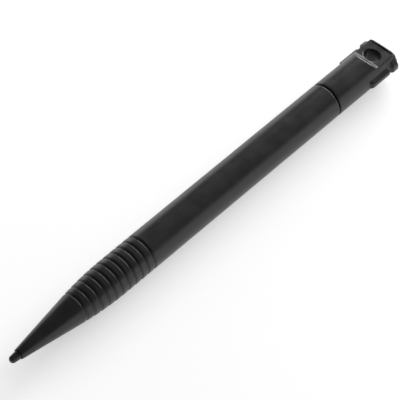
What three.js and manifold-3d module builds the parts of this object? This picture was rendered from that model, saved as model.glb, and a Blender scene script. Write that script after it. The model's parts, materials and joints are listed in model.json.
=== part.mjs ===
// A digitizer stylus: a black ribbed barrel, a rear cap with a tether slot and locking rails, a
// replaceable nib, and a pressure sensor and tuned circuit inside.
//
// Everything is in millimetres. Stations run along the pen from the tip of the nib, which points to -X.
// The pen lies with its tether slot upright, so +Z is up and the rails are at +Y and -Y.

import * as THREE from "three";
import { mergeVertices } from "three/addons/utils/BufferGeometryUtils.js";
import Module from "manifold-3d";

const wasm = await Module();
wasm.setup();

// ---- Driving dimensions ----

const LENGTH = 126.9; // tip of the nib to the rear face of the cap
const SHELL_SIDES = 36; // sides of the turned outer pieces
const INNER_SIDES = 24; // sides of the small turned pieces inside
const FIT_GAP = 0.1; // gap between pieces that touch

const MOUTH = { station: 2.6, radius: 1.35, bore: 1.15 }; // where the nib leaves the nose
const GRIP_RADIUS = 4.75; // the widest part of the barrel, in the middle of the grip
const GRIP_STATION = 32.6; // where the barrel is widest
const KNEE = 19.5; // where the nose's straight cone starts to round over into the grip
const REAR_RADIUS = 4.7; // the barrel at the parting line, and the cap
const PARTING = 105.6; // the joint between barrel and cap
const PARTING_GAP = 0.4; // the fine groove left there
const CAVITY_RADIUS = 3.7; // the barrel's inside

const GROOVE = { count: 11, first: 20.5, pitch: 2.11, width: 1, depth: 0.36 };

const NIB = { round: 0.95, neck: 1.05, neckEnd: 6, shaft: 0.85, tail: 33.6 };

const NOSE_CUSHION = { start: 13.9, end: 14.9, radius: 1.95, bore: 1.2 };
const FERRITE = { start: 15, end: 29, radius: 2, bore: 1 };
const COIL = { start: 20, end: 28, radius: 2.5, sleeve: 2.7 };
const SEAT = { station: 13.8, radius: 2.2 }; // the shoulder that the nose cushion rests on

const HOUSING = { start: 29.4, end: 43, radius: 3.3, cavity: 2.55, wall: 1.1, bore: 1.1 };
const HOLDER = { start: 30.6, end: 34.6, radius: 2.2, socket: 0.95, socketEnd: 34 };
const BOSS = { end: 35.3, radius: 0.8 };
const DOME = { start: 35.4, end: 37.2, radius: 1.15 };
const SPRING = { start: 34.7, end: 37.55, radius: 1.75, wire: 0.15, turns: 3 };
const DISC = { start: 37.65, end: 38.25, radius: 2.4 };
const TERMINAL = { start: 38.35, end: 38.6, radius: 2.2, tabWidth: 1.2, tabThickness: 0.24, tabEnd: 47.4 };

const CARRIER = { bossStart: 38.75, bossRadius: 2.4, start: 43.2, end: 96.5, radius: 3.4 };
const POCKET = { width: 3.4, floor: -2.4 };
const BOARD = { start: 46, end: 94, width: 5.6, bottom: 0.12, top: 0.72 };
const TRIMMER = { station: 62, size: 3.2, height: 1.1, screw: 1.0 };
const CHIP = { length: 1.6, width: 0.85, height: 0.8, first: 68, pitch: 4.5, count: 4 };
const LEAD = { radius: 0.13, lane: 2.95, side: 6 };
const CUSHION = { start: 96.7, end: 98.9, radius: 3.2, bore: 1.2 };

const SPIGOT = { start: 99, radius: 3.6, hollow: 2.5, hollowEnd: 114.5 };
const SEAL = { start: 102.5, end: 103.9, groove: 3.05, inner: 3.1, outer: 3.65 };
const FACET = { rampStart: 118.9, start: 120.4, end: 126.3, height: 2.8, lip: 3.1 };
const SLOT = { station: 122.7, width: 3.5, length: 4.4 };
const RAIL = { start: 116.5, full: 117.2, end: 126.6, reach: 5.6, half: 1.1, earHalf: 1.4 };
const NOTCH = { start: 123.1, end: 124.5 };

// ---- Materials ----

const material = (color, roughness, metalness = 0) =>
  new THREE.MeshStandardMaterial({ color, roughness, metalness });

const CASING_BLACK = material(0x232325, 0.5);
const NIB_BLACK = material(0x1d1d1f, 0.4);
const RUBBER_BLACK = material(0x161616, 0.9);
const FERRITE_GREY = material(0x2e2d2f, 0.75);
const COPPER = material(0xb06a3a, 0.35, 1);
const TAPE_AMBER = material(0xb8862c, 0.3);
const HOUSING_IVORY = material(0xd8d2c0, 0.55);
const STEEL = material(0xb9bcc0, 0.3, 1);
const CERAMIC_WHITE = material(0xe6e2d8, 0.35);
const BOARD_GREEN = material(0x1f5a3a, 0.5);
const CHIP_TAN = material(0x9a7b55, 0.45);

// ---- Shape helpers ----

/** A solid of revolution about the pen's axis, from [station, radius] points. */
function turned(points, sides = INNER_SIDES) {
  const profile = points.map(([station, radius]) => new THREE.Vector2(radius, station));
  return new THREE.LatheGeometry(profile, sides).rotateZ(-Math.PI / 2);
}

/** A plain tube or, where bore is 0, a plain cylinder. */
function tube(start, end, radius, bore = 0, sides = INNER_SIDES) {
  const outside = [
    [start, bore],
    [start, radius],
    [end, radius],
    [end, bore],
  ];
  return turned(bore > 0 ? [...outside, outside[0]] : outside, sides);
}

/** A box between two corners. */
function block(low, high) {
  const size = high.map((value, i) => value - low[i]);
  const middle = high.map((value, i) => (value + low[i]) / 2);
  return new THREE.BoxGeometry(...size).translate(...middle);
}

/** A closed outline in the X-Z plane, given width about Y = 0. */
function sideProfile(outline, width) {
  const shape = new THREE.Shape(outline.map(([x, z]) => new THREE.Vector2(x, z)));
  return new THREE.ExtrudeGeometry(shape, { depth: width, bevelEnabled: false })
    .rotateX(Math.PI / 2)
    .translate(0, width / 2, 0);
}

/** A closed outline in the X-Y plane, given height about Z = 0. */
function topProfile(outline, height) {
  const shape = new THREE.Shape(outline.map(([x, y]) => new THREE.Vector2(x, y)));
  const prism = new THREE.ExtrudeGeometry(shape, { depth: height, bevelEnabled: false });
  return prism.translate(0, 0, -height / 2);
}

/** A round wire along a curve. */
function wire(curve, radius, sides, steps) {
  const section = new THREE.Shape();
  section.absarc(0, 0, radius, 0, Math.PI * 2);
  return new THREE.ExtrudeGeometry(section, { extrudePath: curve, steps, curveSegments: sides });
}

/** A geometry as a manifold-3d solid. */
function solid(geometry) {
  const bare = geometry.clone();
  bare.deleteAttribute("normal");
  bare.deleteAttribute("uv");
  const merged = mergeVertices(bare, 1e-4);
  return new wasm.Manifold(
    new wasm.Mesh({
      numProp: 3,
      vertProperties: new Float32Array(merged.attributes.position.array),
      triVerts: new Uint32Array(merged.index.array),
    }),
  );
}

/** A manifold-3d solid as a geometry. */
function geometryOf(body) {
  const { vertProperties, triVerts } = body.getMesh();
  return new THREE.BufferGeometry()
    .setAttribute("position", new THREE.BufferAttribute(new Float32Array(vertProperties), 3))
    .setIndex(new THREE.BufferAttribute(new Uint32Array(triVerts), 1));
}

/** base with the joins added and then the cuts taken away. */
function carve(base, { joins = [], cuts = [] }) {
  const whole = joins.reduce((body, piece) => body.add(solid(piece)), solid(base));
  return geometryOf(cuts.reduce((body, piece) => body.subtract(solid(piece)), whole));
}

// ---- Casing ----

/**
 * The barrel's outer radius at a station, without its grooves: a straight cone up to the knee, a parabola
 * that meets it with the same slope and levels out where the barrel is widest, and a very slight taper.
 */
function barrelRadius(station) {
  const bow = GRIP_STATION - KNEE;
  const slope = (GRIP_RADIUS - MOUTH.radius) / (KNEE - MOUTH.station + bow / 2);
  if (station <= KNEE) {
    return MOUTH.radius + slope * (station - MOUTH.station);
  }
  if (station <= GRIP_STATION) {
    return GRIP_RADIUS - (slope * (GRIP_STATION - station) ** 2) / (2 * bow);
  }
  const share = (station - GRIP_STATION) / (PARTING - GRIP_STATION);
  return GRIP_RADIUS + share * (REAR_RADIUS - GRIP_RADIUS);
}

/** The barrel in one piece: nose cone, ribbed grip and tube. */
function frontBarrel() {
  const grooves = Array.from({ length: GROOVE.count }, (_, i) => GROOVE.first + i * GROOVE.pitch);
  const half = GROOVE.width / 2;
  const ribs = grooves.flatMap((station) => [
    [station - half, barrelRadius(station - half)],
    [station, barrelRadius(station) - GROOVE.depth],
    [station + half, barrelRadius(station + half)],
  ]);
  const smooth = [KNEE, GRIP_STATION].map((station) => [station, barrelRadius(station)]);
  const outside = [...smooth, ...ribs].sort((a, b) => a[0] - b[0]);
  const inside = [
    [PARTING, CAVITY_RADIUS],
    [HOUSING.start - 0.2, CAVITY_RADIUS],
    [24, 3.3],
    [COIL.start - 0.5, 2.85],
    [FERRITE.start, SEAT.radius],
    [SEAT.station, SEAT.radius],
    [SEAT.station, MOUTH.bore],
    [MOUTH.station, MOUTH.bore],
  ];
  const rim = [MOUTH.station, MOUTH.radius];
  const points = [rim, ...outside, [PARTING, REAR_RADIUS], ...inside, rim];
  return turned(points, SHELL_SIDES);
}

/** The cap: a spigot that plugs the barrel, a flat tab with a tether slot, and a rail on each side. */
function rearCap() {
  const body = turned(
    [
      [SPIGOT.start, SPIGOT.hollow],
      [SPIGOT.start, SPIGOT.radius],
      [SEAL.start, SPIGOT.radius],
      [SEAL.start, SEAL.groove],
      [SEAL.end, SEAL.groove],
      [SEAL.end, SPIGOT.radius],
      [PARTING + PARTING_GAP, SPIGOT.radius],
      [PARTING + PARTING_GAP, REAR_RADIUS],
      [LENGTH - 0.35, REAR_RADIUS],
      [LENGTH, REAR_RADIUS - 0.35],
      [LENGTH, 0],
      [SPIGOT.hollowEnd + 1.5, 0],
      [SPIGOT.hollowEnd, SPIGOT.hollow],
      [SPIGOT.start, SPIGOT.hollow],
    ],
    SHELL_SIDES,
  );
  const edge = [
    [RAIL.start, REAR_RADIUS - 0.5],
    [RAIL.start, REAR_RADIUS],
    [RAIL.full, RAIL.reach],
    [NOTCH.start, RAIL.reach],
    [NOTCH.start + 0.2, REAR_RADIUS],
    [NOTCH.end, REAR_RADIUS],
    [NOTCH.end + 0.35, RAIL.reach],
    [RAIL.end - 0.3, RAIL.reach],
    [RAIL.end, RAIL.reach - 0.35],
  ];
  const both = (outline, half) =>
    topProfile([...outline, ...outline.map(([x, y]) => [x, -y]).reverse()], 2 * half);
  const rails = both(edge, RAIL.half);
  const ears = both(edge.slice(5), RAIL.earHalf); // behind the notch
  const high = 2 * REAR_RADIUS;
  const facet = (sign) =>
    sideProfile(
      [
        [FACET.rampStart, REAR_RADIUS],
        [FACET.rampStart, high],
        [LENGTH + 1, high],
        [LENGTH + 1, FACET.lip],
        [FACET.end + 0.2, FACET.lip],
        [FACET.end, FACET.height],
        [FACET.start, FACET.height],
      ].map(([x, z]) => [x, sign * z]),
      high * 2,
    );
  const slot = new THREE.CylinderGeometry(SLOT.width / 2, SLOT.width / 2, high * 2, INNER_SIDES)
    .rotateX(Math.PI / 2)
    .scale(1, SLOT.length / SLOT.width, 1)
    .translate(SLOT.station, 0, 0);
  return carve(body, { joins: [rails, ears], cuts: [facet(1), facet(-1), slot] });
}

// ---- Nib and pressure sensor ----

/** The replaceable nib: a rounded point, a neck that runs in the mouth, and a long shaft. */
function nib() {
  const steps = 5;
  const point = Array.from({ length: steps }, (_, i) => {
    const angle = (i / (steps - 1)) * 1.35;
    return [NIB.round * (1 - Math.cos(angle)), NIB.round * Math.sin(angle)];
  });
  return turned([
    ...point,
    [MOUTH.station, NIB.neck],
    [NIB.neckEnd, NIB.neck],
    [NIB.neckEnd + 0.3, NIB.shaft],
    [NIB.tail - 0.3, NIB.shaft],
    [NIB.tail, NIB.shaft - 0.25],
    [NIB.tail, 0],
  ]);
}

/** The sensor's housing, with a lane along each side for a coil lead. */
function sensorHousing() {
  const shell = turned([
    [HOUSING.start, HOUSING.bore],
    [HOUSING.start, HOUSING.radius],
    [HOUSING.end, HOUSING.radius],
    [HOUSING.end, HOUSING.cavity],
    [HOUSING.start + HOUSING.wall, HOUSING.cavity],
    [HOUSING.start + HOUSING.wall, HOUSING.bore],
    [HOUSING.start, HOUSING.bore],
  ]);
  const lane = (side) =>
    block(
      [HOUSING.start - 1, Math.min(side * 2.75, side * 4), -0.3],
      [HOUSING.end + 1, Math.max(side * 2.75, side * 4), 0.3],
    );
  return carve(shell, { cuts: [lane(1), lane(-1)] });
}

/** The holder that grips the nib's tail and pushes on the contact dome. */
function nibHolder() {
  return turned([
    [HOLDER.socketEnd, 0],
    [HOLDER.socketEnd, HOLDER.socket],
    [HOLDER.start, HOLDER.socket],
    [HOLDER.start, HOLDER.radius],
    [HOLDER.end, HOLDER.radius],
    [HOLDER.end, BOSS.radius],
    [BOSS.end, BOSS.radius],
    [BOSS.end, 0],
  ]);
}

/** A bullet of conductive rubber whose round end spreads on the dielectric disc. */
function contactDome() {
  const steps = 4;
  const cap = Array.from({ length: steps }, (_, i) => {
    const angle = (i / (steps - 1)) * (Math.PI / 2);
    return [DOME.end - DOME.radius * (1 - Math.sin(angle)), DOME.radius * Math.cos(angle)];
  });
  return turned([[DOME.start, 0], [DOME.start, DOME.radius], ...cap], 20);
}

/** The helix that the return spring's wire follows. */
class Helix extends THREE.Curve {
  getPoint(t) {
    const angle = t * SPRING.turns * Math.PI * 2;
    const station = SPRING.start + SPRING.wire + t * (SPRING.end - SPRING.start - 2 * SPRING.wire);
    return new THREE.Vector3(station, SPRING.radius * Math.cos(angle), SPRING.radius * Math.sin(angle));
  }
}

/** The metal disc behind the dielectric, with the tab that is soldered to the board. */
function rearTerminal() {
  const base = BOARD.top + FIT_GAP;
  const tab = block(
    [TERMINAL.start + 0.1, -TERMINAL.tabWidth / 2, base],
    [TERMINAL.tabEnd, TERMINAL.tabWidth / 2, base + TERMINAL.tabThickness],
  );
  return carve(tube(TERMINAL.start, TERMINAL.end, TERMINAL.radius), { joins: [tab] });
}

// ---- Circuit ----

/** The cradle that carries the board: a boss that closes the sensor, and a trough under the board. */
function boardCarrier() {
  const body = turned([
    [CARRIER.bossStart, 0],
    [CARRIER.bossStart, CARRIER.bossRadius],
    [CARRIER.start, CARRIER.bossRadius],
    [CARRIER.start, CARRIER.radius],
    [CARRIER.end, CARRIER.radius],
    [CARRIER.end, 0],
  ]);
  const high = 5;
  const deck = block([CARRIER.start + 1.5, -high, 0], [CARRIER.end - 1.5, high, high]);
  const pocket = block(
    [BOARD.start + 2, -POCKET.width / 2, POCKET.floor],
    [BOARD.end - 2, POCKET.width / 2, high],
  );
  const tabSlot = block([CARRIER.bossStart - 1, -0.8, BOARD.top - 0.1], [CARRIER.start + 2, 0.8, high]);
  const lane = (side) =>
    block(
      [CARRIER.start - 1, Math.min(side * 2.7, side * 4), -0.35],
      [CARRIER.start + 2, Math.max(side * 2.7, side * 4), 0.35],
    );
  return carve(body, { cuts: [deck, pocket, tabSlot, lane(1), lane(-1)] });
}

/** The trimmer that sets the pen's frequency: a square body with a round slotted rotor. */
function trimmerCapacitor() {
  const base = BOARD.top + FIT_GAP;
  const half = TRIMMER.size / 2;
  const body = block(
    [TRIMMER.station - half, -half, base],
    [TRIMMER.station + half, half, base + TRIMMER.height],
  );
  const rotor = new THREE.CylinderGeometry(TRIMMER.screw, TRIMMER.screw, 0.5, 16)
    .rotateX(Math.PI / 2)
    .translate(TRIMMER.station, 0, base + TRIMMER.height + 0.05);
  const driver = block(
    [TRIMMER.station - 0.15, -TRIMMER.screw, base + TRIMMER.height + 0.1],
    [TRIMMER.station + 0.15, TRIMMER.screw, base + TRIMMER.height + 1],
  );
  return carve(body, { joins: [rotor], cuts: [driver] });
}

/** One chip capacitor on the board. */
function chipCapacitor(index) {
  const station = CHIP.first + index * CHIP.pitch;
  const base = BOARD.top + FIT_GAP;
  return block(
    [station - CHIP.length / 2, -CHIP.width / 2, base],
    [station + CHIP.length / 2, CHIP.width / 2, base + CHIP.height],
  );
}

/** One end of the coil's wire, from the winding along its lane to the board. */
function coilLead(side) {
  const over = BOARD.top + FIT_GAP + LEAD.radius;
  const route = [
    [COIL.end + 0.3, side * 2.55, 0],
    [COIL.end + 0.8, side * LEAD.lane, 0],
    [HOUSING.start + 0.6, side * LEAD.lane, 0],
    [HOUSING.end - 1, side * LEAD.lane, 0],
    [CARRIER.start + 1.6, side * LEAD.lane, 0.02],
    [BOARD.start - 0.4, side * 2.75, over - 0.1],
    [BOARD.start + 0.8, side * 2.1, over + 0.05],
    [BOARD.start + 2, side * 1.9, over + 0.05],
  ].map((point) => new THREE.Vector3(...point));
  return wire(new THREE.CatmullRomCurve3(route, false, "centripetal"), LEAD.radius, LEAD.side, 26);
}

// ---- Assembly ----

const pen = new THREE.Group();
pen.position.set(-LENGTH / 2, 0, GRIP_RADIUS);

function place(name, geometry, finish) {
  const mesh = new THREE.Mesh(geometry, finish);
  mesh.name = name;
  pen.add(mesh);
}

place("front_barrel", frontBarrel(), CASING_BLACK);
place("rear_cap", rearCap(), CASING_BLACK);
place("cap_seal_ring", tube(SEAL.start + FIT_GAP, SEAL.end - FIT_GAP, SEAL.outer, SEAL.inner), RUBBER_BLACK);
place("nib", nib(), NIB_BLACK);
place(
  "ferrite_cushion",
  tube(NOSE_CUSHION.start, NOSE_CUSHION.end, NOSE_CUSHION.radius, NOSE_CUSHION.bore),
  RUBBER_BLACK,
);
place("ferrite_core", tube(FERRITE.start, FERRITE.end, FERRITE.radius, FERRITE.bore), FERRITE_GREY);
place("antenna_coil", tube(COIL.start, COIL.end, COIL.radius, FERRITE.radius + 0.05), COPPER);
place("coil_sleeve", tube(COIL.start + 0.1, COIL.end - 0.1, COIL.sleeve, COIL.radius + 0.05), TAPE_AMBER);
place("sensor_housing", sensorHousing(), HOUSING_IVORY);
place("nib_holder", nibHolder(), HOUSING_IVORY);
place("contact_dome", contactDome(), RUBBER_BLACK);
place("return_spring", wire(new Helix(), SPRING.wire, 6, 16 * SPRING.turns), STEEL);
place("dielectric_disc", tube(DISC.start, DISC.end, DISC.radius), CERAMIC_WHITE);
place("rear_terminal", rearTerminal(), STEEL);
place("board_carrier", boardCarrier(), HOUSING_IVORY);
const board = block([BOARD.start, -BOARD.width / 2, BOARD.bottom], [BOARD.end, BOARD.width / 2, BOARD.top]);
place("circuit_board", board, BOARD_GREEN);
place("trimmer_capacitor", trimmerCapacitor(), CERAMIC_WHITE);
for (let i = 0; i < CHIP.count; i += 1) {
  place(`tuning_capacitor_${i + 1}`, chipCapacitor(i), CHIP_TAN);
}
place("coil_lead_left", coilLead(1), COPPER);
place("coil_lead_right", coilLead(-1), COPPER);
place("end_cushion", tube(CUSHION.start, CUSHION.end, CUSHION.radius, CUSHION.bore), RUBBER_BLACK);

export default pen;
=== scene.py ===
"""A black digitizer stylus with a ribbed grip, a slotted rear cap and its sensor and circuit inside.

Lengths in the sub-assembly classes are in millimetres. A station is a distance along the pen from the
tip of the nib, which points to -X. PenFrame turns stations and radii into metres in the row's frame.
"""

import json
import logging
import math
from dataclasses import dataclass, field
from enum import Enum

import bpy
import numpy as np
from mathutils import Matrix, Vector


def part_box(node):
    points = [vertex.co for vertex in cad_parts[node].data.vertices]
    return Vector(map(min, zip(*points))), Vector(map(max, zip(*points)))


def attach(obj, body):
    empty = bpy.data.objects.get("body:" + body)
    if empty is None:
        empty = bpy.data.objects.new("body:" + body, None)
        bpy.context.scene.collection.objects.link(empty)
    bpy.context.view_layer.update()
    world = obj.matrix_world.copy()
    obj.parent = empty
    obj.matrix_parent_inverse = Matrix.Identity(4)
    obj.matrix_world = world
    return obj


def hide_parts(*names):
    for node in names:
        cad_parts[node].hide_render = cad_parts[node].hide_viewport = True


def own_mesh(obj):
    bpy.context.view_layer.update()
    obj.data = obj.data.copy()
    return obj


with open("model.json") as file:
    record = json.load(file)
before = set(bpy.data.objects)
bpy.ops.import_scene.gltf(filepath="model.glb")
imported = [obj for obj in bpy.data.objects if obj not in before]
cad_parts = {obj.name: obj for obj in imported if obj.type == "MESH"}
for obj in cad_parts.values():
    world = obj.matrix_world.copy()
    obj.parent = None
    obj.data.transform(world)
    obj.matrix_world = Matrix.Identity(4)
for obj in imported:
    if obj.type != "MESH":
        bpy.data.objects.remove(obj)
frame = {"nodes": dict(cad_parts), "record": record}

LOG = logging.getLogger("stylus")
MM = 0.001
CASING, HOLDER, NIB = "casing", "holder", "nib"
RUB = "rub"  # the mesh attribute that says how much a spot is handled, from 0 to 1
SHARP_ANGLE = math.radians(38)


# ---- Numbers on arrays ----


def smooth_step(x: np.ndarray, low: float, high: float) -> np.ndarray:
    """Rises from 0 at low to 1 at high as 3t^2 - 2t^3."""
    t = np.clip((x - low) / (high - low), 0, 1)
    return t * t * (3 - 2 * t)


def soft_max(a: np.ndarray, b: np.ndarray, blend: float) -> np.ndarray:
    """The larger of a and b, filleted where they differ by less than k = blend.

    The fillet adds k/4 (1 - |a - b| / k)^2, which is nothing once they are k apart.

    Args:
        a: first heights.
        b: second heights.
        blend: how far apart they are where the fillet ends.

    Returns:
        The blended heights.
    """
    return np.maximum(a, b) + blend / 4 * np.clip(1 - np.abs(a - b) / blend, 0, 1) ** 2


def soft_min(a: np.ndarray, b: np.ndarray, blend: float) -> np.ndarray:
    """The smaller of a and b, with a rounded edge only where they differ by less than blend."""
    return -soft_max(-a, -b, blend)


def packed(*stretches: tuple[float, float, int]) -> np.ndarray:
    """Rising stations, evenly spaced within each (start, end, steps) stretch.

    Args:
        stretches: neighbouring stretches, in order.

    Returns:
        One array that holds every station once.
    """
    parts = [np.linspace(start, end, steps, endpoint=False) for start, end, steps in stretches]
    return np.concatenate([*parts, [stretches[-1][1]]])


# ---- Meshes ----


@dataclass(frozen=True)
class PenFrame:
    """Where the pen lies in the row's frame."""

    tip: float
    axis_height: float

    @classmethod
    def read(cls) -> "PenFrame":
        """The frame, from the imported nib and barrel."""
        barrel_low, barrel_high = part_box("front_barrel")
        return cls(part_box("nib")[0].x, (barrel_low.z + barrel_high.z) / 2)

    def place(self, points: np.ndarray) -> np.ndarray:
        """Points of (station, y, z) in millimetres, as metres in the row's frame."""
        return points * MM + np.array([self.tip, 0.0, self.axis_height])

    def point(self, station: float, y: float = 0.0, z: float = 0.0) -> Vector:
        """One point of the pen, in metres in the row's frame."""
        return Vector(self.place(np.array([station, y, z])))


class Ends(Enum):
    """How a stack of rings is closed."""

    POLES = "poles"
    LOOP = "loop"


def polar_rings(stations: np.ndarray, radii: np.ndarray, angles: np.ndarray) -> np.ndarray:
    """Rings about the pen's axis: spoke j of ring i is (station i, r cos angle j, r sin angle j).

    Args:
        stations: one for each ring.
        radii: one for each ring, or one for each ring and spoke.
        angles: one for each spoke, from +Y towards +Z.

    Returns:
        An array of ring, spoke and coordinate.
    """
    spread = np.broadcast_to(radii if radii.ndim == 2 else radii[:, None], (len(stations), len(angles)))
    along = np.broadcast_to(stations[:, None], spread.shape)
    return np.stack([along, spread * np.cos(angles), spread * np.sin(angles)], axis=-1)


def mesh_from_rings(
    name: str, rings: np.ndarray, ends: Ends, pen: PenFrame, rub: np.ndarray | None = None
) -> bpy.types.Object:
    """A closed, outward-facing mesh from a stack of rings.

    Neighbouring rings are joined by quads. With POLES the first and last rings are each closed by a fan
    to their middle point, and with LOOP the last ring joins the first.

    Args:
        name: the piece's name.
        rings: an array of ring, spoke and coordinate, in millimetres.
        ends: how the stack is closed.
        pen: where the pen lies.
        rub: how much each ring is handled, from 0 to 1.

    Returns:
        The new object, at the origin, with its place in its mesh.
    """
    count, spokes = rings.shape[:2]
    points = rings.reshape(-1, 3)
    row = np.arange(count if ends is Ends.LOOP else count - 1)
    spoke = np.arange(spokes)
    next_spoke = (spoke + 1) % spokes
    this_row = row[:, None] * spokes
    next_row = (row[:, None] + 1) % count * spokes
    corners_of_quads = [this_row + spoke, this_row + next_spoke, next_row + next_spoke, next_row + spoke]
    quads = np.stack(corners_of_quads, axis=-1).reshape(-1, 4)
    fans = np.empty((0, 3), int)
    if ends is Ends.POLES:
        middles = np.stack([rings[0].mean(0), rings[-1].mean(0)])
        first, last = len(points), len(points) + 1
        points = np.concatenate([points, middles])
        base = (count - 1) * spokes
        fans = np.concatenate(
            [
                np.stack([np.full(spokes, first), next_spoke, spoke], axis=-1),
                np.stack([np.full(spokes, last), base + spoke, base + next_spoke], axis=-1),
            ]
        )
    mesh = bpy.data.meshes.new(name)
    mesh.vertices.add(len(points))
    mesh.vertices.foreach_set("co", pen.place(points).astype(np.float32).ravel())
    mesh.loops.add(quads.size + fans.size)
    mesh.loops.foreach_set("vertex_index", np.concatenate([quads.ravel(), fans.ravel()]).astype(np.int32))
    mesh.polygons.add(len(quads) + len(fans))
    sizes = np.concatenate([np.full(len(quads), 4), np.full(len(fans), 3)])
    mesh.polygons.foreach_set("loop_start", (np.cumsum(sizes) - sizes).astype(np.int32))
    mesh.update(calc_edges=True)
    if rub is not None:
        values = np.zeros(len(points), np.float32)
        values[: count * spokes] = np.repeat(rub, spokes)
        mesh.attributes.new(RUB, "FLOAT", "POINT").data.foreach_set("value", values)
    piece = bpy.data.objects.new(name, mesh)
    bpy.context.scene.collection.objects.link(piece)
    smooth(piece)
    return piece


def smooth(piece: bpy.types.Object) -> None:
    """Shades a piece smooth, apart from its real corners."""
    piece.data.shade_smooth()
    piece.data.set_sharp_from_angle(angle=SHARP_ANGLE)


def turned(
    name: str, profile: list[tuple[float, float]], ends: Ends, pen: PenFrame, spokes: int = 72
) -> bpy.types.Object:
    """A turned piece: (station, radius) points revolved about the axis, outer side first and tip to rear."""
    stations, radii = np.array(profile, float).T
    angles = np.linspace(0, 2 * np.pi, spokes, endpoint=False)
    return mesh_from_rings(name, polar_rings(stations, radii, angles), ends, pen)


def wire_along(
    name: str, path: np.ndarray, side: np.ndarray, radius: float, pen: PenFrame, spokes: int = 14
) -> bpy.types.Object:
    """A round wire: a circle of radius carried along path, square to it.

    Each circle is radius times (cos a times n + sin a times b), where t is the path's direction, n is side
    less its part along t, and b is t cross n.

    Args:
        name: the piece's name.
        path: points of (station, y, z), in order.
        side: a direction at each point that is never along the path.
        radius: the wire's radius.
        pen: where the pen lies.
        spokes: corners of each circle.

    Returns:
        The new object.
    """
    along = np.gradient(path, axis=0)
    along /= np.linalg.norm(along, axis=1, keepdims=True)
    normal = side - (side * along).sum(1, keepdims=True) * along
    normal /= np.linalg.norm(normal, axis=1, keepdims=True)
    across = np.cross(along, normal)
    angle = np.linspace(0, 2 * np.pi, spokes, endpoint=False)[None, :, None]
    rings = path[:, None] + radius * (np.cos(angle) * normal[:, None] + np.sin(angle) * across[:, None])
    return mesh_from_rings(name, rings, Ends.POLES, pen)


# ---- Shader nodes ----


@dataclass(frozen=True)
class Signal:
    """A number that varies over a surface: a node socket that does arithmetic."""

    shader: "Shader"
    socket: bpy.types.NodeSocket

    def _math(self, operation: str, left: "Signal | float", right: "Signal | float") -> "Signal":
        """left and right through one Math node."""
        return self.shader.node("ShaderNodeMath", {"operation": operation}, {0: left, 1: right})

    def __add__(self, other: "Signal | float") -> "Signal":
        """self + other."""
        return self._math("ADD", self, other)

    def __radd__(self, other: float) -> "Signal":
        """other + self."""
        return self._math("ADD", other, self)

    def __sub__(self, other: "Signal | float") -> "Signal":
        """self - other."""
        return self._math("SUBTRACT", self, other)

    def __rsub__(self, other: float) -> "Signal":
        """other - self."""
        return self._math("SUBTRACT", other, self)

    def __mul__(self, other: "Signal | float") -> "Signal":
        """self * other."""
        return self._math("MULTIPLY", self, other)

    def __rmul__(self, other: float) -> "Signal":
        """other * self."""
        return self._math("MULTIPLY", other, self)


class Shader:
    """A material's node tree, built from a Principled shader."""

    def __init__(self, name: str) -> None:
        """Makes an empty material of that name."""
        self.material = bpy.data.materials.new(name)
        self.material.use_nodes = True
        self.tree = self.material.node_tree
        self.surface = self.tree.nodes["Principled BSDF"]

    def node(self, kind: str, settings: dict, inputs: dict, output: str | int = 0) -> Signal:
        """Adds one node.

        Args:
            kind: the node's type.
            settings: attributes, set before anything is linked.
            inputs: socket name or number to a value or a Signal.
            output: which output to return.

        Returns:
            That output.
        """
        made = self.tree.nodes.new(kind)
        for key, value in settings.items():
            setattr(made, key, value)
        for key, value in inputs.items():
            self.feed(made.inputs[key], value)
        return Signal(self, made.outputs[output])

    def feed(self, socket: bpy.types.NodeSocket, value: "Signal | float | tuple") -> None:
        """Links a Signal to a socket, or sets the socket's own value."""
        if isinstance(value, Signal):
            self.tree.links.new(value.socket, socket)
        else:
            socket.default_value = value

    def set(self, name: str, value: "Signal | float | tuple") -> None:
        """Feeds one of the Principled shader's sockets."""
        self.feed(self.surface.inputs[name], value)

    def place(self, stretch: tuple[float, float, float] = (1, 1, 1)) -> Signal:
        """The surface's own coordinates, scaled by stretch."""
        own = self.node("ShaderNodeTexCoord", {}, {}, "Object")
        return self.node("ShaderNodeMapping", {}, {"Vector": own, "Scale": stretch})

    def noise(self, size_mm: float, detail: float = 2.0, where: Signal | None = None) -> Signal:
        """Noise from 0 to 1 whose grains are about size_mm across."""
        inputs = {"Vector": where or self.place(), "Scale": 1 / (size_mm * MM), "Detail": detail}
        return self.node("ShaderNodeTexNoise", {}, inputs, "Fac")

    def attribute(self, name: str) -> Signal:
        """A mesh attribute's number."""
        return self.node("ShaderNodeAttribute", {"attribute_name": name}, {}, "Fac")

    def between(self, low: float, high: float, signal: Signal) -> Signal:
        """signal with low taken to 0 and high to 1, clamped and eased."""
        settings = {"interpolation_type": "SMOOTHSTEP"}
        return self.node("ShaderNodeMapRange", settings, {"Value": signal, "From Min": low, "From Max": high})

    def blend(self, share: Signal, first: tuple | Signal, second: tuple | Signal) -> Signal:
        """The colour that goes from first to second as share goes from 0 to 1."""
        made = self.tree.nodes.new("ShaderNodeMix")
        made.data_type = "RGBA"
        self.feed(made.inputs["Factor"], share)
        for socket, colour in ((made.inputs[6], first), (made.inputs[7], second)):
            self.feed(socket, colour if isinstance(colour, Signal) else (*colour, 1.0))
        return Signal(self, made.outputs[2])

    def relief(self, height: Signal, depth_mm: float) -> None:
        """Gives the surface a relief of depth_mm."""
        inputs = {"Height": height, "Distance": depth_mm * MM, "Strength": 1.0}
        self.set("Normal", self.node("ShaderNodeBump", {}, inputs, "Normal"))


# ---- Finishes ----


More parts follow.
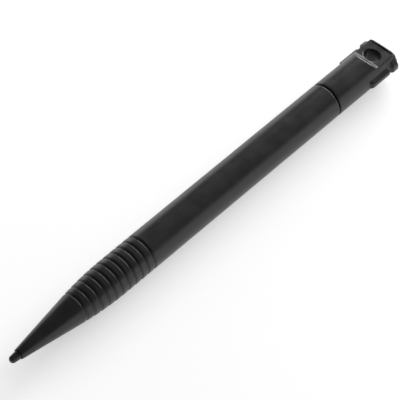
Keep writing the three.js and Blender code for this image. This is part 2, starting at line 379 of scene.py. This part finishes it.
@dataclass(frozen=True)
class Finish:
    """A finish with a fine grain, a slow drift of colour and a slight unevenness of gloss."""

    name: str
    colour: tuple[float, float, float]
    drift: tuple[float, float, float]
    roughness: tuple[float, float]
    grain_mm: float = 0.12
    grain_depth_mm: float = 0.004
    metallic: float = 0.0
    ior: float = 1.5

    def material(self) -> bpy.types.Material:
        """Builds the finish's material."""
        shader = Shader(self.name)
        grain = shader.noise(self.grain_mm, 3)
        mottle = shader.between(0.35, 0.68, shader.noise(4.0, 4))
        shader.set("Base Color", self.tint(shader, shader.blend(mottle, self.colour, self.drift)))
        low, high = self.roughness
        shader.set("Roughness", self.gloss(shader, low + (high - low) * (0.5 * grain + 0.5 * mottle)))
        shader.set("Metallic", self.metallic)
        shader.set("IOR", self.ior)
        shader.relief(self.height(shader, grain), self.grain_depth_mm)
        return shader.material

    def tint(self, shader: Shader, colour: Signal) -> Signal:
        """The base colour, which some finishes mark further."""
        return colour

    def gloss(self, shader: Shader, roughness: Signal) -> Signal:
        """The roughness, which some finishes vary further."""
        return roughness

    def height(self, shader: Shader, grain: Signal) -> Signal:
        """The height of the relief."""
        return grain


@dataclass(frozen=True)
class HandledPlastic(Finish):
    """Spark-textured black plastic that handling has polished a little on its proud edges."""

    worn: tuple[float, float, float] = (0.028, 0.028, 0.0285)
    polish: float = 0.12

    def tint(self, shader: Shader, colour: Signal) -> Signal:
        """Lighter where it is rubbed, in patches."""
        return shader.blend(self.rubbed(shader), colour, self.worn)

    def gloss(self, shader: Shader, roughness: Signal) -> Signal:
        """Smoother where it is rubbed."""
        return roughness - self.polish * self.rubbed(shader)

    def rubbed(self, shader: Shader) -> Signal:
        """How far the texture is worn at a spot, from 0 to 1."""
        return shader.attribute(RUB) * shader.between(0.4, 0.7, shader.noise(1.6, 4))

    def height(self, shader: Shader, grain: Signal) -> Signal:
        """Fine grain over a coarser orange peel."""
        return 0.7 * grain + 0.3 * shader.noise(0.45, 2)


@dataclass(frozen=True)
class Streaked(Finish):
    """Drawn or filed metal, with streaks along one axis."""

    stretch: tuple[float, float, float] = (0.05, 1.0, 1.0)

    def height(self, shader: Shader, grain: Signal) -> Signal:
        """Streaks along the drawing direction."""
        return shader.noise(self.grain_mm, 3, shader.place(self.stretch))


@dataclass(frozen=True)
class PrintedBoard(Finish):
    """Green solder mask over copper tracks that run along the board."""

    track: tuple[float, float, float] = (0.05, 0.2, 0.07)
    track_pitch_mm: float = 0.8

    def tracks(self, shader: Shader) -> Signal:
        """1 on a track and 0 between tracks."""
        along_board = shader.place((0.06, 1.0, 0.0))
        inputs = {"Vector": along_board, "Scale": 1 / (self.track_pitch_mm * MM), "Distortion": 1.5}
        settings = {"wave_type": "BANDS", "bands_direction": "Y"}
        return shader.between(0.6, 0.72, shader.node("ShaderNodeTexWave", settings, inputs, "Fac"))

    def tint(self, shader: Shader, colour: Signal) -> Signal:
        """Paler green over the tracks."""
        return shader.blend(self.tracks(shader), colour, self.track)

    def height(self, shader: Shader, grain: Signal) -> Signal:
        """Tracks stand proud of the board."""
        return 0.2 * grain + 0.8 * self.tracks(shader)


FINISHES = {
    "casing": HandledPlastic(
        "satin_black_moulding", (0.010, 0.010, 0.0103), (0.013, 0.013, 0.0133), (0.3, 0.42)
    ),
    "nib": HandledPlastic(
        "nib_plastic", (0.012, 0.012, 0.012), (0.016, 0.016, 0.016), (0.24, 0.36), 0.06, 0.002
    ),
    "rubber": Finish("black_rubber", (0.012, 0.012, 0.012), (0.02, 0.019, 0.018), (0.75, 0.92), 0.08, 0.006),
    "ferrite": Finish(
        "sintered_ferrite", (0.03, 0.028, 0.03), (0.055, 0.05, 0.052), (0.55, 0.8), 0.05, 0.008
    ),
    "copper": Finish(
        "enamelled_copper", (0.62, 0.22, 0.09), (0.42, 0.12, 0.05), (0.2, 0.38), 0.1, 0.002, 1.0
    ),
    "tape": Finish("amber_film", (0.52, 0.24, 0.03), (0.4, 0.16, 0.02), (0.15, 0.3), 0.5, 0.006),
    "moulding": Finish("ivory_moulding", (0.62, 0.58, 0.48), (0.7, 0.66, 0.56), (0.4, 0.56), 0.15, 0.005),
    "steel": Streaked("drawn_steel", (0.6, 0.6, 0.61), (0.48, 0.48, 0.5), (0.2, 0.36), 0.05, 0.002, 1.0),
    "ceramic": Finish("fired_ceramic", (0.74, 0.72, 0.65), (0.66, 0.63, 0.56), (0.28, 0.42), 0.09, 0.003),
    "board": PrintedBoard("solder_mask", (0.012, 0.09, 0.035), (0.02, 0.12, 0.045), (0.25, 0.4), 0.2, 0.02),
    "chip": Finish("fired_chip_body", (0.34, 0.2, 0.1), (0.26, 0.15, 0.08), (0.35, 0.5), 0.07, 0.004),
}


class Wardrobe:
    """Makes each finish once and dresses pieces in it."""

    def __init__(self) -> None:
        """Starts with nothing made."""
        self.made: dict[str, bpy.types.Material] = {}

    def dress(self, piece: bpy.types.Object, slot: str) -> None:
        """Puts a slot's finish on a piece, in place of whatever it had."""
        if slot not in self.made:
            self.made[slot] = FINISHES[slot].material()
        piece.data.materials.clear()
        piece.data.materials.append(self.made[slot])

    def stand_in(self, piece: bpy.types.Object, node: str, body: str, slot: str) -> None:
        """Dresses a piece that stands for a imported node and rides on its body."""
        self.dress(piece, slot)
        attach(piece, body)
        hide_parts(node)
        LOG.info("%s stands for %s on %s: %d faces", piece.name, node, body, len(piece.data.polygons))


# ---- Casing ----


@dataclass(frozen=True)
class Barrel:
    """The front barrel: nose cone, ribbed grip and plain tube, in one moulding."""

    mouth: float = 2.6
    mouth_radius: float = 1.35
    bore: float = 1.15
    knee: float = 19.5
    widest: float = 32.6
    grip_radius: float = 4.745
    parting: float = 105.6
    rear_radius: float = 4.7
    cavity_radius: float = 3.7
    groove_first: float = 20.5
    groove_pitch: float = 2.11
    groove_count: int = 11
    groove_width: float = 1.0
    groove_depth: float = 0.36
    edge_round: float = 0.22
    mouth_bevel: tuple[float, float] = (0.1, 0.07)
    bore_bevel: tuple[float, float] = (0.08, 0.06)
    cavity_start: float = 29.2
    throat: tuple[tuple[float, float], ...] = ((24.0, 3.3), (19.5, 2.85), (15.0, 2.2), (13.8, 2.2))
    grip_ring_step: float = 0.055
    plain_rub: float = 0.15
    rib_rub: float = 0.85
    rear_edge_rub: float = 0.8
    spokes: int = 128

    def groove_stations(self) -> np.ndarray:
        """The middle of each groove."""
        return self.groove_first + self.groove_pitch * np.arange(self.groove_count)

    def skin(self, station: np.ndarray) -> np.ndarray:
        """The outer radius without grooves.

        A straight cone up to the knee, then a parabola that meets it with the same slope and levels out at
        the widest station, then a straight, very slight taper to the parting line.

        Args:
            station: where along the pen.

        Returns:
            One radius for each station.
        """
        bend = self.widest - self.knee
        slope = (self.grip_radius - self.mouth_radius) / (self.knee - self.mouth + bend / 2)
        cone = self.mouth_radius + slope * (station - self.mouth)
        bow = self.grip_radius - slope * (self.widest - station) ** 2 / (2 * bend)
        share = np.clip((station - self.widest) / (self.parting - self.widest), 0, 1)
        tube = self.grip_radius + share * (self.rear_radius - self.grip_radius)
        return np.where(station < self.knee, cone, np.where(station < self.widest, bow, tube))

    def nearness(self, station: np.ndarray) -> np.ndarray:
        """The distance to the nearest groove's middle, in half groove widths."""
        away = np.abs(station[:, None] - self.groove_stations()).min(1)
        return away / (self.groove_width / 2)

    def outer(self, station: np.ndarray) -> np.ndarray:
        """The outer radius: the skin less depth * cos^2(pi u / 2), where u is the nearness clipped to 1."""
        dip = np.cos(np.pi / 2 * np.clip(self.nearness(station), 0, 1)) ** 2
        return self.skin(station) - self.groove_depth * dip

    def build(self, pen: PenFrame) -> bpy.types.Object:
        """The barrel as one closed shell, its outside from tip to rear and its cavity back again."""
        first, last = self.groove_stations()[[0, -1]]
        outside = packed(
            (self.mouth + self.mouth_bevel[0], first - 1, 40),
            (first - 1, last + 1, int((last - first + 2) / self.grip_ring_step)),
            (last + 1, self.parting - 0.6, 30),
        )
        turn = np.linspace(0, np.pi / 2, 6)
        rear_edge = self.parting - self.edge_round * (1 - np.sin(turn))
        rear_radius = self.rear_radius - self.edge_round * (1 - np.cos(turn))
        inside = np.array(
            [
                (self.parting, self.cavity_radius),
                (self.cavity_start, self.cavity_radius),
                *self.throat,
                (self.throat[-1][0], self.bore),
                (self.mouth + self.bore_bevel[0], self.bore),
                (self.mouth, self.bore + self.bore_bevel[1]),
                (self.mouth, self.mouth_radius - self.mouth_bevel[1]),
            ]
        )
        stations = np.concatenate([outside, rear_edge, inside[:, 0]])
        radii = np.concatenate([self.outer(outside), rear_radius, inside[:, 1]])
        rib_edge = np.clip(1 - np.abs(self.nearness(outside) - 1.25) / 0.6, 0, 1)
        outside_rub = self.plain_rub + self.rib_rub * rib_edge
        rub = np.concatenate([outside_rub, np.full(len(turn), self.rear_edge_rub), np.zeros(len(inside))])
        angles = np.linspace(0, 2 * np.pi, self.spokes, endpoint=False)
        rings = polar_rings(stations, radii, angles)
        return mesh_from_rings("barrel_moulding", rings, Ends.LOOP, pen, rub)


@dataclass(frozen=True)
class Cap:
    """The rear cap: a round body with two flats, a side rail and notch on each side, and a tether slot."""

    face: float = 106.0
    radius: float = 4.7
    length: float = 126.9
    ramp_start: float = 118.9
    flat_start: float = 120.4
    flat_end: float = 126.3
    flat_height: float = 2.8
    lip_rise: float = 0.3
    rail_reach: float = 5.6
    rail_half: float = 1.3
    ear_half: float = 1.9
    rail_start: float = 116.5
    rail_rise: tuple[float, float] = (-0.45, 0.75)
    rail_fall: tuple[float, float] = (0.7, 0.15)
    rail_power: float = 3.4
    rail_blend: float = 1.0
    notch: tuple[float, float] = (123.1, 124.5)
    notch_drop: float = 0.35
    notch_rise: tuple[float, float] = (-0.2, 0.25)
    ramp_clear: float = 0.06
    foot_blend: float = 0.6
    edge_blend: float = 0.2
    ramp_edge_blend: float = 0.6
    lip_edge_blend: float = 0.6
    lip_step: float = 0.12
    slot_station: float = 122.7
    slot_half: tuple[float, float] = (1.75, 2.2)
    slot_round: float = 0.35
    front_round: float = 0.25
    end_round: float = 0.4
    spokes: int = 360
    spigot: tuple[tuple[float, float], ...] = (
        (106.0, 3.6), (103.9, 3.6), (103.9, 3.05), (102.5, 3.05), (102.5, 3.6), (99.0, 3.6),
    )
    hollow: tuple[tuple[float, float], ...] = ((99.0, 2.5), (114.5, 2.5), (115.9, 0.2))

    def rail(self, station: np.ndarray) -> np.ndarray:
        """How far the rail reaches from the axis.

        It steps up at its start, down into the notch, up again to the ear, and down at the end. Where there
        is no rail it lies a whole blend inside the body, so that it leaves the body round.

        Args:
            station: where along the pen.

        Returns:
            One reach for each station.
        """
        rise = smooth_step(station, self.rail_start + self.rail_rise[0], self.rail_start + self.rail_rise[1])
        notch = smooth_step(station, self.notch[0], self.notch[0] + self.notch_drop)
        notch *= 1 - smooth_step(
            station, self.notch[1] + self.notch_rise[0], self.notch[1] + self.notch_rise[1]
        )
        fall = 1 - smooth_step(station, self.length - self.rail_fall[0], self.length - self.rail_fall[1])
        low = self.radius - self.rail_blend
        return low + (self.rail_reach - low) * rise * (1 - notch) * fall

    def lip(self, station: np.ndarray) -> np.ndarray:
        """0 ahead of the end lip and 1 on it."""
        return smooth_step(station, self.flat_end - self.lip_step, self.flat_end + self.lip_step)

    def flat(self, station: np.ndarray) -> np.ndarray:
        """The height of the flat above the axis: the ramp's plane, the level flat, a step up to the lip."""
        down = np.clip((station - self.ramp_start) / (self.flat_start - self.ramp_start), -2, 2)
        top = self.radius + self.ramp_clear
        ramp = top + down * (self.flat_height - self.radius - self.ramp_clear)
        height = soft_max(ramp, np.full(ramp.shape, self.flat_height), self.foot_blend)
        return height + self.lip_rise * self.lip(station)

    def outline(self, station: np.ndarray, angles: np.ndarray) -> np.ndarray:
        """The outer radius at each station and angle.

        The round body, cut by a plane at the flat's height (r = h / |sin a|) with a rounded edge. The end
        lip is crowned, so there the height falls off with the square of y. A rail is added on each side as
        a superellipse, (|cos a| / W)^p + (|sin a| / H)^p = r^-p, with a fillet where it meets the body.

        Args:
            station: where along the pen.
            angles: spokes, from +Y towards +Z.

        Returns:
            An array of station and spoke.
        """
        rise = np.maximum(np.abs(np.sin(angles))[None, :], 1e-3)
        run = np.abs(np.cos(angles))[None, :]
        lip = self.lip(station)[:, None]
        height = np.broadcast_to(self.flat(station)[:, None], (len(station), len(angles)))
        body = soft_min(np.full(height.shape, self.radius), height / rise, self.edge_blend)
        crown = self.lip_rise * np.clip((body * run / self.radius) ** 2, 0, 1)
        on_ramp = 1 - smooth_step(station, self.ramp_start + 1.0, self.flat_start + 0.4)[:, None]
        edge = self.edge_blend + self.ramp_edge_blend * on_ramp + self.lip_edge_blend * lip
        body = soft_min(np.full(height.shape, self.radius), (height - lip * crown) / rise, edge)
        power = self.rail_power
        behind = smooth_step(station, self.notch[0], self.notch[1])
        half = (self.rail_half + (self.ear_half - self.rail_half) * behind)[:, None]
        side = (run / self.rail(station)[:, None]) ** power + (rise / half) ** power
        return np.minimum(soft_max(body, side ** (-1 / power), self.rail_blend), self.rail_reach)

    def slot_cutter(self, pen: PenFrame) -> bpy.types.Object:
        """A tall oval plug that widens by a quarter circle at each flat, which rounds the slot's rim."""
        inner = self.flat_height - self.slot_round
        turn = np.linspace(0, 1, 9)
        upper = np.concatenate([inner + self.slot_round * turn, [self.radius + 1]])
        grow = np.concatenate([self.slot_round * (1 - np.sqrt(1 - turn**2)), [self.slot_round]])
        levels = np.concatenate([-upper[::-1], upper])
        growth = np.concatenate([grow[::-1], grow])[:, None]
        angles = np.linspace(0, 2 * np.pi, 96, endpoint=False)
        along = self.slot_station + (self.slot_half[0] + growth) * np.cos(angles)
        across = (self.slot_half[1] + growth) * np.sin(angles)
        rings = np.stack([along, across, np.broadcast_to(levels[:, None], along.shape)], axis=-1)
        return mesh_from_rings("slot_cutter", rings, Ends.POLES, pen)

    def build(self, pen: PenFrame) -> bpy.types.Object:
        """The cap as one closed surface, from the bottom of its hollow round the spigot to the end face."""
        angles = np.linspace(0, 2 * np.pi, self.spokes, endpoint=False)
        outside = packed(
            (self.face + self.front_round, self.rail_start - 0.5, 16),
            (self.rail_start - 0.5, self.ramp_start - 0.7, 24),
            (self.ramp_start - 0.7, self.flat_start + 0.3, 40),
            (self.flat_start + 0.3, self.notch[0] - 0.2, 12),
            (self.notch[0] - 0.2, self.notch[1] + 0.6, 30),
            (self.notch[1] + 0.6, self.length - self.end_round, 22),
        )
        skin = self.outline(outside, angles)
        turn = np.linspace(0, np.pi / 2, 6)[1:]
        front_x = self.face + self.front_round * (1 - np.sin(turn))[::-1]
        front_r = skin[0] - self.front_round * (1 - np.cos(turn))[::-1][:, None]
        back_x = self.length - self.end_round * (1 - np.sin(turn))
        back_r = skin[-1] - self.end_round * (1 - np.cos(turn))[:, None]
        closing = np.array([0.7, 0.35, 0.05])[:, None] * back_r[-1]
        core = np.array([*self.hollow[::-1], *self.spigot[::-1]])
        stations = np.concatenate([core[:, 0], front_x, outside, back_x, np.full(3, self.length)])
        round_core = np.broadcast_to(core[:, 1:], (len(core), self.spokes))
        radii = np.concatenate([round_core, front_r, skin, back_r, closing])
        proud = np.clip((self.rail(stations) - self.radius) / (self.rail_reach - self.radius), 0, 1)
        rings = polar_rings(stations, radii, angles)
        cap = mesh_from_rings("cap_moulding", rings, Ends.POLES, pen, 0.1 + 0.5 * proud)
        return cut_away(cap, self.slot_cutter(pen))


def cut_away(piece: bpy.types.Object, cutter: bpy.types.Object) -> bpy.types.Object:
    """Takes cutter out of piece, applies the cut and removes cutter."""
    modifier = piece.modifiers.new("slot", "BOOLEAN")
    modifier.operation = "DIFFERENCE"
    modifier.solver = "EXACT"
    modifier.object = cutter
    bpy.context.view_layer.update()
    result = bpy.data.meshes.new_from_object(piece.evaluated_get(bpy.context.evaluated_depsgraph_get()))
    piece.modifiers.clear()
    piece.data = result
    bpy.data.objects.remove(cutter)
    smooth(piece)
    return piece


@dataclass(frozen=True)
class Casing:
    """The outer shells and the cap's seal."""

    barrel: Barrel = field(default_factory=Barrel)
    cap: Cap = field(default_factory=Cap)
    seal_middle: float = 103.2
    seal_half: float = 0.58
    seal_radii: tuple[float, float] = (3.1, 3.65)

    def seal(self, pen: PenFrame) -> bpy.types.Object:
        """A ring whose section is an ellipse about (middle station, mean radius)."""
        turn = np.linspace(0, 2 * np.pi, 24, endpoint=False)
        low, high = self.seal_radii
        stations = self.seal_middle - self.seal_half * np.cos(turn)
        radii = (low + high) / 2 + (high - low) / 2 * np.sin(turn)
        angles = np.linspace(0, 2 * np.pi, 96, endpoint=False)
        return mesh_from_rings("seal_ring", polar_rings(stations, radii, angles), Ends.LOOP, pen)

    def build(self, pen: PenFrame, wardrobe: Wardrobe) -> None:
        """Builds and dresses the casing."""
        wardrobe.stand_in(self.barrel.build(pen), "front_barrel", CASING, "casing")
        wardrobe.stand_in(self.cap.build(pen), "rear_cap", CASING, "casing")
        wardrobe.stand_in(self.seal(pen), "cap_seal_ring", CASING, "rubber")


# ---- Nib and sensor ----


@dataclass(frozen=True)
class PointAndSensor:
    """The nib, and the round parts of the sensor that it presses."""

    nib_round: float = 0.95
    nib_neck: float = 1.05
    nib_neck_start: float = 2.0
    nib_neck_end: float = 6.0
    nib_shaft: float = 0.85
    nib_tail: float = 33.6
    dome: tuple[float, float, float] = (35.4, 37.2, 1.15)
    spring_span: tuple[float, float] = (34.7, 37.55)
    spring_radius: float = 1.75
    spring_wire: float = 0.15
    spring_turns: int = 3
    press_travel: float = 0.35

    def nib(self, pen: PenFrame) -> bpy.types.Object:
        """The nib: a ball point that runs into a neck, a short cone, and a shaft with a chamfered tail.

        A ring close to each end of the neck and the shaft keeps their smooth shading straight.
        """
        turn = np.linspace(0.06, 1.35, 20)
        stations = self.nib_round * (1 - np.cos(turn))
        radii = self.nib_round * np.sin(turn)
        neck = [
            (self.nib_neck_start, self.nib_neck),
            (self.nib_neck_start + 0.2, self.nib_neck),
            (self.nib_neck_end - 0.1, self.nib_neck),
            (self.nib_neck_end, self.nib_neck),
            (self.nib_neck_end + 0.3, self.nib_shaft),
            (self.nib_neck_end + 0.4, self.nib_shaft),
            (self.nib_tail - 0.4, self.nib_shaft),
            (self.nib_tail - 0.3, self.nib_shaft),
            (self.nib_tail, self.nib_shaft - 0.25),
        ]
        stations = np.concatenate([stations, [station for station, _ in neck]])
        radii = np.concatenate([radii, [radius for _, radius in neck]])
        rub = np.clip(1 - stations / 1.2, 0, 1)
        angles = np.linspace(0, 2 * np.pi, 72, endpoint=False)
        return mesh_from_rings("nib_point", polar_rings(stations, radii, angles), Ends.POLES, pen, rub)

    def contact(self, pen: PenFrame) -> bpy.types.Object:
        """The rubber bullet: a cylinder that ends in a half ball."""
        start, end, radius = self.dome
        turn = np.linspace(0, np.pi / 2 - 0.05, 16)
        ball = list(zip(end - radius * (1 - np.sin(turn)), radius * np.cos(turn)))
        profile = [(start, radius - 0.1), (start + 0.1, radius), *ball]
        return turned("contact_bullet", profile, Ends.POLES, pen)

    def spring(self, pen: PenFrame) -> bpy.types.Object:
        """The spring's wire: (a + bt, R cos 2 pi n t, R sin 2 pi n t) for t from 0 to 1."""
        t = np.linspace(0, 1, 60 * self.spring_turns)
        angle = 2 * np.pi * self.spring_turns * t
        low, high = self.spring_span
        station = low + self.spring_wire + t * (high - low - 2 * self.spring_wire)
        outward = np.stack([np.zeros_like(t), np.cos(angle), np.sin(angle)], axis=-1)
        path = self.spring_radius * outward + station[:, None] * np.array([1.0, 0, 0])
        return wire_along("coil_spring", path, outward, self.spring_wire, pen)

    def let_shorten(self, spring: bpy.types.Object, pen: PenFrame) -> None:
        """Gives the spring a mesh of its own; the spring keeps its full length."""
        low, high = self.spring_span
        pen.point(high)
        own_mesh(spring)

    def build(self, pen: PenFrame, wardrobe: Wardrobe) -> None:
        """Builds and dresses the nib and the sensor's round parts."""
        wardrobe.stand_in(self.nib(pen), "nib", NIB, "nib")
        wardrobe.stand_in(self.contact(pen), "contact_dome", HOLDER, "rubber")
        spring = self.spring(pen)
        wardrobe.stand_in(spring, "return_spring", CASING, "steel")
        self.let_shorten(spring, pen)


@dataclass(frozen=True)
class Antenna:
    """The winding on the ferrite."""

    start: float = 20.0
    end: float = 28.0
    inner: float = 2.05
    outer: float = 2.5
    turns: int = 40

    def build(self, pen: PenFrame, wardrobe: Wardrobe) -> None:
        """The top layer of wire: the radius dips by half a wire to where |sin| of the phase is 0."""
        station = np.linspace(self.start, self.end, self.turns * 8 + 1)
        phase = np.pi * self.turns * (station - self.start) / (self.end - self.start)
        wire = (self.end - self.start) / self.turns
        radii = self.outer - wire / 2 * (1 - np.abs(np.sin(phase)))
        stations = np.concatenate([station, [self.end, self.start]])
        radii = np.concatenate([radii, [self.inner, self.inner]])
        angles = np.linspace(0, 2 * np.pi, 72, endpoint=False)
        winding = mesh_from_rings("coil_winding", polar_rings(stations, radii, angles), Ends.LOOP, pen)
        wardrobe.stand_in(winding, "antenna_coil", CASING, "copper")


def dress_packed_nodes(wardrobe: Wardrobe) -> None:
    """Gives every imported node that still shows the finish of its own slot."""
    slots = {part["node"]: part["material_slot"] for part in frame["record"]["subparts"]}
    for name, node in sorted(frame["nodes"].items()):
        if not node.hide_render:
            wardrobe.dress(node, slots[name])
            LOG.info("%s keeps its packed shape, in %s", name, slots[name])


# ---- Studio ----


@dataclass(frozen=True)
class SoftBox:
    """A rectangular soft light that points at the pen's middle."""

    name: str
    towards: tuple[float, float, float]
    distance: float
    size: tuple[float, float]
    watts: float

    def build(self, target: Vector) -> None:
        """Hangs the light."""
        light = bpy.data.lights.new(self.name, "AREA")
        light.shape = "RECTANGLE"
        light.size, light.size_y = self.size
        light.energy = self.watts
        lamp = bpy.data.objects.new(self.name, light)
        direction = Vector(self.towards).normalized()
        lamp.location = target + direction * self.distance
        lamp.visible_camera = False
        lamp.rotation_mode = "QUATERNION"
        lamp.rotation_quaternion = (-direction).to_track_quat("-Z", "Y")
        bpy.context.scene.collection.objects.link(lamp)


@dataclass(frozen=True)
class Studio:
    """The camera, the pale floor and the soft lights."""

    azimuth: float = math.radians(-46.15)
    elevation: float = math.radians(50.2)
    roll: float = math.radians(-0.85)
    distance: float = 0.561
    lens: float = 216.0
    sensor: float = 36.0
    looks_at: float = 65.7
    offset_right: float = -2.95
    offset_up: float = -1.34
    world: float = 0.15
    floor_glow: float = 0.5
    floor_colour: tuple[float, float, float] = (0.9, 0.9, 0.9)
    floor_half: float = 4.0
    lights: tuple[SoftBox, ...] = (
        SoftBox("rear_key", (0.9, 0.1, 0.4), 1.3, (1.4, 0.6), 20.0),
        SoftBox("far_side_box", (0.46, 0.88, 0.12), 0.9, (1.4, 0.3), 1.8),
        SoftBox("near_side_box", (0.46, -0.88, 0.1), 0.9, (1.4, 0.25), 1.1),
    )

    def camera(self, pen: PenFrame) -> None:
        """Stands the camera back from the pen along its azimuth and elevation, with a slight roll."""
        az, el = self.azimuth, self.elevation
        back = Vector((math.sin(az) * math.cos(el), -math.cos(az) * math.cos(el), math.sin(el)))
        level = Vector((math.cos(az), math.sin(az), 0))
        upright = back.cross(level)
        right = level * math.cos(self.roll) + upright * math.sin(self.roll)
        up = back.cross(right)
        target = pen.point(self.looks_at) + (right * self.offset_right + up * self.offset_up) * MM
        lens = bpy.data.cameras.new("camera")
        lens.lens, lens.sensor_width, lens.clip_start = self.lens, self.sensor, 0.01
        camera = bpy.data.objects.new("camera", lens)
        turned_to = Matrix((right, up, back)).transposed().to_4x4()
        camera.matrix_world = Matrix.Translation(target + back * self.distance) @ turned_to
        bpy.context.scene.collection.objects.link(camera)
        bpy.context.scene.camera = camera

    def floor(self) -> None:
        """A light table: a wide level floor that glows a little, with a faint unevenness of tone."""
        shader = Shader("pale_floor")
        pale = tuple(0.98 * channel for channel in self.floor_colour)
        shader.set("Base Color", shader.blend(shader.noise(200.0, 1), self.floor_colour, pale))
        shader.set("Roughness", 0.9)
        shader.set("Emission Color", (1, 1, 1, 1))
        shader.set("Emission Strength", self.floor_glow)
        half = self.floor_half
        mesh = bpy.data.meshes.new("floor")
        outline = [(-half, -half, 0), (half, -half, 0), (half, half, 0), (-half, half, 0)]
        mesh.from_pydata(outline, [], [(0, 1, 2, 3)])
        mesh.materials.append(shader.material)
        floor = bpy.data.objects.new("floor", mesh)
        bpy.context.scene.collection.objects.link(floor)

    def build(self, pen: PenFrame) -> None:
        """Sets up the whole studio."""
        self.camera(pen)
        self.floor()
        world = bpy.data.worlds.new("studio")
        world.use_nodes = True
        world.node_tree.nodes["Background"].inputs["Color"].default_value = (1, 1, 1, 1)
        world.node_tree.nodes["Background"].inputs["Strength"].default_value = self.world
        bpy.context.scene.world = world
        bpy.context.scene.view_settings.view_transform = "Standard"
        for light in self.lights:
            light.build(pen.point(self.looks_at))


def main() -> None:
    """Builds the stylus and its studio."""
    logging.basicConfig(level=logging.INFO, format="%(message)s")
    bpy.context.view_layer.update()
    pen = PenFrame.read()
    wardrobe = Wardrobe()
    Studio().build(pen)
    Casing().build(pen, wardrobe)
    PointAndSensor().build(pen, wardrobe)
    Antenna().build(pen, wardrobe)
    dress_packed_nodes(wardrobe)


if __name__ == "__main__":
    main()
